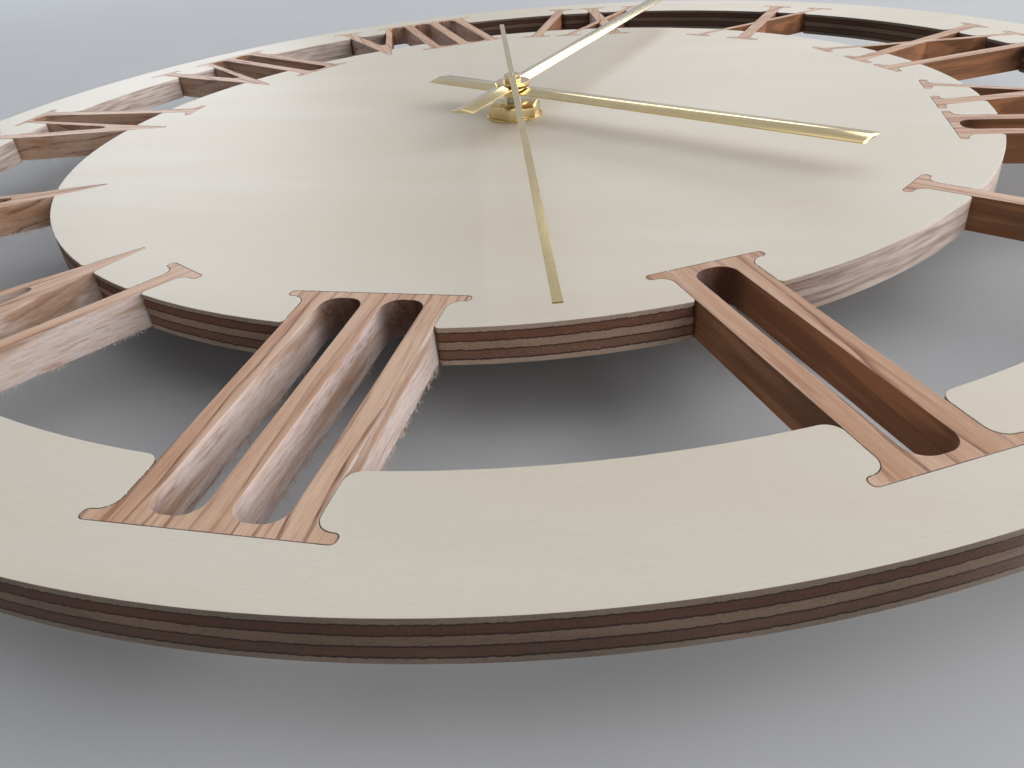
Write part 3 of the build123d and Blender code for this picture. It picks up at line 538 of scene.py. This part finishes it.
def grown_mesh(name, nodes, result, material, sizes, base):
    """Run a tree over a base mesh and keep what it makes as one plain mesh."""
    solid = nodes.add("GeometryNodeRealizeInstances", None, (result,))
    solid = nodes.add("GeometryNodeSetMaterial", None, {"Geometry": solid, "Material": material})
    nodes.tree.links.new(solid.socket, nodes.tree.nodes.new("NodeGroupOutput").inputs[0])
    carrier = bpy.data.objects.new(name, base)
    scene.collection.objects.link(carrier)
    modifier = carrier.modifiers.new(name, "NODES")
    modifier.node_group = nodes.tree
    for item in nodes.tree.interface.items_tree:
        if item.name in sizes:
            modifier[item.identifier] = sizes[item.name]
    evaluated = carrier.evaluated_get(bpy.context.evaluated_depsgraph_get())
    mesh = bpy.data.meshes.new_from_object(evaluated)
    mesh.name = name
    bpy.data.objects.remove(carrier)
    return mesh


def random_number(nodes, low, high, seed):
    """A random number for each point."""
    values = {2: low, 3: high, 8: seed}
    return nodes.add("FunctionNodeRandomValue", {"data_type": "FLOAT"}, values, result=1)


walls = bmesh.new()
for piece in numeral_pieces:
    walls.from_mesh(piece.data)
level_faces = [face for face in walls.faces if abs(face.normal.z) > 0.2]
bmesh.ops.delete(walls, geom=level_faces, context="FACES")
wall_mesh = bpy.data.meshes.new("numeral_walls")
walls.to_mesh(wall_mesh)
walls.free()

# Points on the walls, kept near the lower edge, in patches, on the torn flank, clear of the inlays.
fuzz_sizes = {"Density": 1.2e7, "Fibre Length": 0.0012, "Fibre Radius": 0.000060}
fringe = 0.0011
inlay_gap = 0.002
fuzz, size = geometry_tree("router_fuzz", fuzz_sizes)
scatter_values = {"Mesh": size["Geometry"], "Density": size["Density"], "Seed": 7}
points = fuzz.add("GeometryNodeDistributePointsOnFaces", None, scatter_values)
place = fuzz.add("GeometryNodeInputPosition")
level, radius = fuzz.from_axis(place)
height = fuzz.axes(place)[2]
lower_values = {"Value": height, "From Min": disc_low.z, "From Max": disc_low.z + fringe}
lower = fuzz.add("ShaderNodeMapRange", None, lower_values)
patch = fuzz.add("ShaderNodeTexNoise", None, {"Vector": place, "Scale": 260.0, "Detail": 2.0})
chance = random_number(fuzz, 0.0, 1.0, seed=11)
normal = Value(fuzz, points.socket.node.outputs["Normal"])
grain = fuzz.vector("NORMALIZE", level)
flank = fuzz.vector("CROSS_PRODUCT", (0.0, 0.0, 1.0), grain)
rough_side = fuzz.vector("DOT_PRODUCT", normal, flank, result="Value")
keep = 0.90 * (1 - lower) * (2.6 * patch - 0.55) * (0.15 + 0.85 * rough_side)
bare = chance.maths("GREATER_THAN", keep)
bare = bare + radius.maths("LESS_THAN", disc_radius / metre + inlay_gap)
bare = bare + radius.maths("GREATER_THAN", ring_inner_radius / metre - inlay_gap)
bare_values = {"Geometry": points, "Selection": bare}
standing = fuzz.add("GeometryNodeDeleteGeometry", {"domain": "POINT"}, bare_values)

# One bent, tapering fibre, set on each point and dragged along the grain and downwards.
reach = size["Fibre Length"]
bend = fuzz.add("ShaderNodeCombineXYZ", None, (reach * 0.10, 0.0, reach * 0.55))
tip = fuzz.add("ShaderNodeCombineXYZ", None, (reach * 0.45, 0.0, reach * 0.90))
path_values = {"Resolution": 3, "Start": (0.0, 0.0, 0.0), "Middle": bend, "End": tip}
path = fuzz.add("GeometryNodeCurveQuadraticBezier", None, path_values)
taper = 1 - 0.75 * fuzz.add("GeometryNodeSplineParameter")
path = fuzz.add("GeometryNodeSetCurveRadius", None, {"Curve": path, "Radius": taper})
section_values = {"Resolution": 3, "Radius": size["Fibre Radius"]}
section = fuzz.add("GeometryNodeCurvePrimitiveCircle", None, section_values)
fibre_values = {"Curve": path, "Profile Curve": section, "Fill Caps": True}
fibre = fuzz.add("GeometryNodeCurveToMesh", None, fibre_values)
drawn = fuzz.stretched(grain, random_number(fuzz, -1.1, 1.1, seed=17))
stray_values = {0: (-0.3, -0.3, -1.4), 1: (0.3, 0.3, -0.2), 8: 23}
stray = fuzz.add("FunctionNodeRandomValue", {"data_type": "FLOAT_VECTOR"}, stray_values)
lean = fuzz.vector("ADD", drawn, stray)
lean = fuzz.vector("MULTIPLY_ADD", normal, (0.4, 0.4, 0.4), lean)
turn = fuzz.add("FunctionNodeAlignRotationToVector", {"axis": "Z"}, {"Vector": lean})
scale = random_number(fuzz, 0.35, 1.25, seed=31)
tuft_values = {"Points": standing, "Instance": fibre, "Rotation": turn, "Scale": scale}
tufts = fuzz.add("GeometryNodeInstanceOnPoints", None, tuft_values)

dull_fibre = (0.52, 0.37, 0.28)
pale_fibre = (0.78, 0.68, 0.60)
fuzz_finish = Finish("oak_fuzz", Roughness=0.8)
fuzz_tint = fuzz_finish.noise(fuzz_finish.place, (0.8, 0.8, 0.8), 2.0)
fuzz_material = fuzz_finish.paint(fuzz_finish.blend(fuzz_tint, dull_fibre, pale_fibre))
fuzz_mesh = grown_mesh("router_fuzz", fuzz, tufts, fuzz_material, fuzz_sizes, wall_mesh)
fuzz_piece = link_piece("router_fuzz", fuzz_mesh, fuzz_material)
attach(fuzz_piece, "base")


# Movement case: a moulded black box with a clipped-on rear cover, open at the battery bay.
# The mould left a fine spark grain, round ejector marks, sunk signs for the cell and the knob,
# a finger notch at the bay, a bare sunk panel and windows for the clips.
def moulded(name, colour, roughness, grain=5.0, **constants):
    """Moulded plastic with a fine grain and slightly rubbed high spots."""
    plastic = Finish(name, **constants)
    spark = plastic.noise(plastic.place, (grain, grain, grain), 3.0)
    rub = plastic.rise(plastic.noise(plastic.place, (0.12, 0.12, 0.12), 3.0), 0.45, 0.75)
    tint = plastic.blend(0.16 * rub, colour, tuple(0.82 * part + 0.035 for part in colour))
    return plastic.paint(tint, roughness + 0.16 * (spark - 0.5) - 0.05 * rub, spark, 0.02)


def prism(shape, outline, low, high):
    """Closed prism over an outline, between two heights in millimetres."""
    lower, upper = (
        [shape.verts.new((x / metre, y / metre, z / metre)) for x, y in outline]
        for z in (low, high)
    )
    shape.faces.new(lower[::-1])
    shape.faces.new(upper)
    for corner in range(len(outline)):
        shape.faces.new((lower[corner - 1], lower[corner], upper[corner], upper[corner - 1]))


def rectangle(left, front, right, back):
    """Corners of an upright rectangle."""
    return [(left, front), (right, front), (right, back), (left, back)]


def arc(centre, radius, start, end, steps=16):
    """Points of an arc in degrees, about a centre in millimetres."""
    x, y = centre
    turns = [math.radians(start + (end - start) * step / steps) for step in range(steps + 1)]
    return [(x + radius * math.cos(turn), y + radius * math.sin(turn)) for turn in turns]


def cut_mesh(mesh, cutter_shape):
    """A mesh with the solids of another cut out of it."""
    bmesh.ops.recalc_face_normals(cutter_shape, faces=cutter_shape.faces)
    cutter_mesh = bpy.data.meshes.new("cutter")
    cutter_shape.to_mesh(cutter_mesh)
    cutter_shape.free()
    cutter = bpy.data.objects.new("cutter", cutter_mesh)
    blank = bpy.data.objects.new("blank", mesh)
    for carrier in (cutter, blank):
        scene.collection.objects.link(carrier)
    boolean = blank.modifiers.new("cut", "BOOLEAN")
    boolean.operation = "DIFFERENCE"
    boolean.solver = "EXACT"
    boolean.object = cutter
    evaluated = blank.evaluated_get(bpy.context.evaluated_depsgraph_get())
    cut = bpy.data.meshes.new_from_object(evaluated)
    for carrier in (cutter, blank):
        bpy.data.objects.remove(carrier)
    for polygon in cut.polygons:
        polygon.use_smooth = True
    return cut


case_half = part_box("front_case")[1].x * metre
bay_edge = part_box("battery_cell")[1].y * metre + 0.1
knob_low, knob_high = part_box("setting_knob")
knob_centre = ((knob_low.x + knob_high.x) / 2 * metre, (knob_low.y + knob_high.y) / 2 * metre)

# Windows for the clips: two in each side wall of the case, two in its upper wall.
window_half = 3.0
window_depth = 0.6
window_low, window_high = 3.2, 5.4
window_bottom, window_mouth = case_half - window_depth, case_half + 1.0
window_plans = [
    rectangle(side * window_bottom, row - window_half, side * window_mouth, row + window_half)
    for row in (-1.0, 18.0)
    for side in (-1.0, 1.0)
]
window_plans += [
    rectangle(column - window_half, window_bottom, column + window_half, window_mouth)
    for column in (-13.0, 13.0)
]
clip_windows = bmesh.new()
for plan in window_plans:
    prism(clip_windows, plan, window_low, window_high)

# Marks in the cover's outer face: finger notch, bare panel, ejector marks, signs and arrows.
above = -0.5
notch_radius, notch_depth, notch_lap = 6.5, 0.9, 0.6
notch = arc((0.0, bay_edge), notch_radius, 0.0, 180.0)
notch += [(-notch_radius, bay_edge - notch_lap), (notch_radius, bay_edge - notch_lap)]
signs = bmesh.new()
prism(signs, notch, above, notch_depth)

panel_corners = ((13.5, 9.5), (-18.5, 9.5), (-18.5, -0.5), (13.5, -0.5))
panel_round, panel_depth = 1.5, 0.15
panel = []
for corner, centre in enumerate(panel_corners):
    panel += arc(centre, panel_round, 90.0 * corner, 90.0 * corner + 90.0, 6)
prism(signs, panel, above, panel_depth)

ejector_places = ((23.5, 23.5), (-23.5, 23.5), (23.5, -3.5), (-23.5, -3.5), (12.0, 19.0))
ejector_radius, ejector_depth = 1.6, 0.12
for place in ejector_places:
    prism(signs, arc(place, ejector_radius, 0.0, 337.5, 15), above, ejector_depth)

sign_row = bay_edge + 3.4
sign_column = 20.0
sign_depth = 0.25
arm, half_line = 1.7, 0.4
plus = [(half_line, half_line), (half_line, arm), (-half_line, arm), (-half_line, half_line)]
plus += [(-arm, half_line), (-arm, -half_line), (-half_line, -half_line), (-half_line, -arm)]
plus += [(half_line, -arm), (half_line, -half_line), (arm, -half_line), (arm, half_line)]
minus = [(arm, half_line), (-arm, half_line), (-arm, -half_line), (arm, -half_line)]
for column, sign in ((sign_column, plus), (-sign_column, minus)):
    prism(signs, [(column + x, sign_row + y) for x, y in sign], above, sign_depth)

arrow_outer, arrow_inner, arrow_depth = 7.15, 6.45, 0.2
arrow_sweep, head_sweep = 55.0, 15.0
for start in (15.0, 195.0):
    end = start + arrow_sweep
    head_points = ((7.9, end), (6.8, end + head_sweep), (5.7, end))
    head = [arc(knob_centre, reach, turn, turn, 1)[0] for reach, turn in head_points]
    arrow = arc(knob_centre, arrow_outer, start, end) + head
    arrow += arc(knob_centre, arrow_inner, end, start)
    prism(signs, arrow, above, arrow_depth)

case_plastic = moulded("case_plastic", (0.022, 0.022, 0.024), 0.50)
cover_plastic = moulded("cover_plastic", (0.030, 0.030, 0.033), 0.46)
eased_copy("front_case", "movement_case", 0.25, case_plastic, marks=clip_windows)
eased_copy("rear_cover", "movement_cover", 0.20, cover_plastic, marks=signs)


# Inside of the movement: moulded wheels, steel arbors, a stepping motor and a small circuit.
# The closed case hides these pieces, which keep their plain solids.
def metal(name, colour, roughness, turn=0.0, brush=(0.15, 9.0, 9.0), **constants):
    """Bare metal with fine marks along one direction and a little tarnish."""
    bare = Finish(name, Metallic=1.0, **constants)
    place = bare.turned(turn)
    mark = bare.noise(place, brush, 3.0)
    tarnish = bare.noise(place, (0.07, 0.07, 0.07), 3.0)
    dulled = tuple(0.86 * part for part in colour)
    tint = bare.blend(bare.rise(tarnish, 0.40, 0.75), colour, dulled)
    worn = roughness + 0.14 * (mark - 0.5) + 0.08 * (tarnish - 0.5)
    return bare.paint(tint, worn, mark, 0.004)


acetal = moulded("wheel_acetal", (0.74, 0.72, 0.66), 0.38, 2.0)
plated_steel = metal("plated_steel", (0.56, 0.56, 0.57), 0.30)
inner_finishes = {
    "middle_plate": moulded("plate_plastic", (0.42, 0.43, 0.43), 0.42, 2.0),
    "second_wheel": acetal,
    "third_wheel": acetal,
    "centre_wheel": acetal,
    "motion_wheel": acetal,
    "hour_wheel": acetal,
    "intermediate_wheel": acetal,
    "rotor_pinion": acetal,
    "setting_shaft": acetal,
    "coil_bobbin": moulded("bobbin_plastic", (0.56, 0.52, 0.45), 0.45, 2.0),
    "circuit_board": moulded("board_laminate", (0.030, 0.150, 0.065), 0.35, 1.5),
    "chip": moulded("chip_resin", (0.012, 0.012, 0.013), 0.22, 1.0),
    "second_arbor": plated_steel,
    "motion_clip": plated_steel,
    "stator": plated_steel,
    "coil_core": plated_steel,
    "crystal": plated_steel,
    "rotor_magnet": metal("magnet_ferrite", (0.10, 0.095, 0.095), 0.55),
    "coil_winding": metal("winding_copper", (0.72, 0.32, 0.16), 0.30, 90.0, (4.0, 4.0, 0.3)),
}
for node, material in inner_finishes.items():
    set_material(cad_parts[node].data, material)


# Battery cell and its sprung contacts: a wrapped steel can in the open bay of the case.
# The wrap is plain, with a pale ring near the positive end and bare steel at both ends.
def wrapped_cell():
    """Printed wrap over a steel can, by place along the cell."""
    dark_wrap = (0.050, 0.065, 0.140)
    pale_wrap = (0.550, 0.550, 0.540)
    bare_steel = (0.60, 0.60, 0.60)
    bare_cap, bare_base = 1.7, 0.5
    ring_start, ring_end = 6.6, 5.2
    print_edge = 0.1
    wrap = Finish("cell_wrap")
    along = wrap.axes(wrap.place)[0]
    low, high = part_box("battery_cell")

    def past(line):
        """1 beyond a line across the cell, 0 before it."""
        return wrap.rise(along, line, line + print_edge)

    bare = past(high.x * metre - bare_cap) + 1 - past(low.x * metre + bare_base)
    ring = past(high.x * metre - ring_start) * (1 - past(high.x * metre - ring_end))
    scuff = wrap.noise(wrap.place, (0.5, 2.0, 2.0), 4.0)
    colour = wrap.blend(ring, dark_wrap, pale_wrap)
    colour = wrap.stretched(colour, 0.90 + 0.20 * scuff)
    colour = wrap.blend(bare, colour, bare_steel)
    wrap.tree.links.new(bare.socket, wrap.surface.inputs["Metallic"])
    return wrap.paint(colour, 0.24 + 0.16 * scuff, scuff, 0.006)


eased_copy("battery_cell", "dry_cell", 0.08, wrapped_cell())
for node in ("positive_contact", "negative_contact"):
    eased_copy(node, f"sprung_{node}", 0.05, plated_steel)


# Setting knob: a fluted wheel of red plastic in a round well of the rear cover,
# pressed on the shaft that sets the hands.
knob_plastic = moulded("knob_plastic", (0.46, 0.020, 0.014), 0.36)
eased_copy("setting_knob", "fluted_knob", 0.10, knob_plastic, "setting")


# Fixing at the dial: hanger plate, rubber washer, threaded bush, brass washer and hexagon nut.
# The nut pulls the movement against the back of the disc.
def turned_brass(name, colour, roughness):
    """Brass off the lathe: fine rings round the hand axis and a touch of tarnish."""
    brass = Finish(name, Metallic=1.0)
    radius = brass.from_axis(brass.place)[1]
    height = brass.axes(brass.place)[2]
    lathe = brass.add("ShaderNodeCombineXYZ", None, (radius, 0.0, height))
    ring = brass.noise(lathe, (7.0, 1.0, 7.0), 3.0)
    tarnish = brass.noise(brass.place, (0.20, 0.20, 0.20), 3.0)
    dulled = tuple(0.80 * part for part in colour)
    tint = brass.blend(brass.rise(tarnish, 0.40, 0.75), colour, dulled)
    worn = roughness + 0.12 * (ring - 0.5) + 0.10 * (tarnish - 0.5)
    return brass.paint(tint, worn, ring, 0.004)


nut_brass = turned_brass("nut_brass", (0.70, 0.54, 0.27), 0.22)
washer_rubber = moulded("washer_rubber", (0.018, 0.018, 0.018), 0.72, 3.0)
eased_copy("hanger_plate", "hanger", 0.08, plated_steel)
eased_copy("rubber_washer", "rubber_cushion", 0.15, washer_rubber)
eased_copy("threaded_bush", "brass_bush", 0.15, nut_brass)
eased_copy("dial_washer", "brass_washer", 0.08, nut_brass)
eased_copy("hex_nut", "brass_nut", 0.15, nut_brass)


# Hands: gilt batons folded to a ridge along their length, pressed on their arbors.
# The second hand is a flat strip. A round nut holds the minute hand.
gilt_colour = (0.76, 0.58, 0.29)
polish_marks = (0.05, 10.0, 10.0)
hand_angles = {"hour_hand": 60.8, "minute_hand": 166.9, "second_hand": 15.3}
hand_bodies = {"hour_hand": "hours", "minute_hand": "minutes", "second_hand": "seconds"}
for node, angle in hand_angles.items():
    gilt = metal(f"gilt_{node}", gilt_colour, 0.14, angle, polish_marks)
    eased_copy(node, f"gilt_{node}", 0.06, gilt, hand_bodies[node])
set_material(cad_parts["minute_arbor"].data, nut_brass)
eased_copy("minute_nut", "round_nut", 0.12, nut_brass, "minutes")


# Studio: a plain pale floor under the clock, which fades into the backdrop further out.
# A wide window lights it from the right, a soft ceiling from above, and three small windows
# behind it give the veneer and the hands something to mirror.
floor_half = 4.0
floor_level = -0.0003
floor_sides = ((-1, -1), (1, -1), (1, 1), (-1, 1))
floor_corners = [(x * floor_half, y * floor_half, floor_level) for x, y in floor_sides]
floor_mesh = bpy.data.meshes.new("studio_floor")
floor_mesh.from_pydata(floor_corners, [], [(0, 1, 2, 3)])
backdrop = (0.47, 0.50, 0.54)
black = (0.0, 0.0, 0.0)
fade_start, fade_end = 350.0, 1150.0
paper_tones = ((0.50, 0.51, 0.53), (0.54, 0.55, 0.57))


def seen_rays(nodes):
    """1 for what the camera sees, straight or in metal or glass, and 0 for light on the object."""
    rays = nodes.add("ShaderNodeLightPath").socket.node
    seen = Value(nodes, rays.outputs["Is Camera Ray"]) + Value(nodes, rays.outputs["Is Glossy Ray"])
    seen = seen + Value(nodes, rays.outputs["Is Transmission Ray"])
    return seen.maths("MINIMUM", 1.0)


paper = Finish("floor_paper", Roughness=0.9, Specular_IOR_Level=0.15, Emission_Strength=1.0)
distance = paper.vector("LENGTH", paper.place, result="Value")
far = paper.rise(distance, fade_start, fade_end) * seen_rays(paper)
far_glow = paper.blend(far, black, backdrop)
paper.tree.links.new(far_glow.socket, paper.surface.inputs["Emission Color"])
mottle = paper.noise(paper.place, (0.02, 0.02, 0.02), 2.0)
floor_colour = paper.blend(far, paper.blend(mottle, *paper_tones), black)
link_piece("studio_floor", floor_mesh, paper.paint(floor_colour))

dial_centre = Vector((0.0, 0.0, 0.02))


def soft_lamp(name, place, size, power, colour, tilt=0.0):
    """Oval area lamp at a place, turned towards the dial and tilted in degrees."""
    lamp = bpy.data.lights.new(name, "AREA")
    lamp.shape = "ELLIPSE"
    lamp.size, lamp.size_y = size
    lamp.energy = power
    lamp.color = colour
    lamp_object = bpy.data.objects.new(name, lamp)
    aim = (dial_centre - Vector(place)).to_track_quat("-Z", "Y").to_matrix().to_4x4()
    turn = aim @ Matrix.Rotation(math.radians(tilt), 4, "Z")
    lamp_object.matrix_world = Matrix.Translation(place) @ turn
    scene.collection.objects.link(lamp_object)


soft_lamp("window_right", (-0.20, 1.70, 0.75), (5.2, 1.6), 57.0, (1.0, 0.98, 0.96))
soft_lamp("window_back_left", (-1.72, -1.42, 0.52), (1.0, 0.6), 7.8, (0.92, 0.95, 1.0))
soft_lamp("window_back", (-2.28, 0.06, 0.76), (1.10, 0.42), 3.7, (0.96, 0.98, 1.0), 25.0)
soft_lamp("window_back_right", (-1.93, 0.90, 0.89), (0.73, 0.81), 3.6, (0.95, 0.98, 1.0))
soft_lamp("ceiling", (-0.3, 0.3, 2.4), (4.4, 4.4), 31.0, (1.0, 1.0, 1.0))

world = bpy.data.worlds.new("studio_world")
scene.world = world
world.use_nodes = True
sky = Nodes(world.node_tree)
sky.tree.nodes.clear()
level = 0.42 + 0.58 * seen_rays(sky)
glow = sky.add("ShaderNodeBackground", None, {"Color": (*backdrop, 1.0), "Strength": level})
world_output = sky.tree.nodes.new("ShaderNodeOutputWorld")
sky.tree.links.new(glow.socket, world_output.inputs["Surface"])

# Camera: low over the ring between two and three, looking across the dial, a little rolled.
camera_radius = 0.3006
camera_bearing = math.radians(13.7)
camera_height = 0.1083
heading = math.radians(195.7)
pitch = math.radians(33.008)
roll = math.radians(5.587)
level_forward = Vector((math.cos(heading), math.sin(heading), 0.0))
forward = math.cos(pitch) * level_forward - Vector((0.0, 0.0, math.sin(pitch)))
level_right = Vector((math.sin(heading), -math.cos(heading), 0.0))
level_up = level_right.cross(forward)
right = math.cos(roll) * level_right - math.sin(roll) * level_up
up = right.cross(forward)
lens = bpy.data.cameras.new("studio_camera")
lens.sensor_fit = "HORIZONTAL"
lens.sensor_width = 36.0
lens.lens = 28.903
lens.clip_start = 0.005
camera = bpy.data.objects.new("studio_camera", lens)
camera.matrix_world = Matrix((right, up, -forward)).transposed().to_4x4()
camera.location = (
    camera_radius * math.cos(camera_bearing),
    camera_radius * math.sin(camera_bearing),
    camera_height,
)
scene.collection.objects.link(camera)
scene.camera = camera
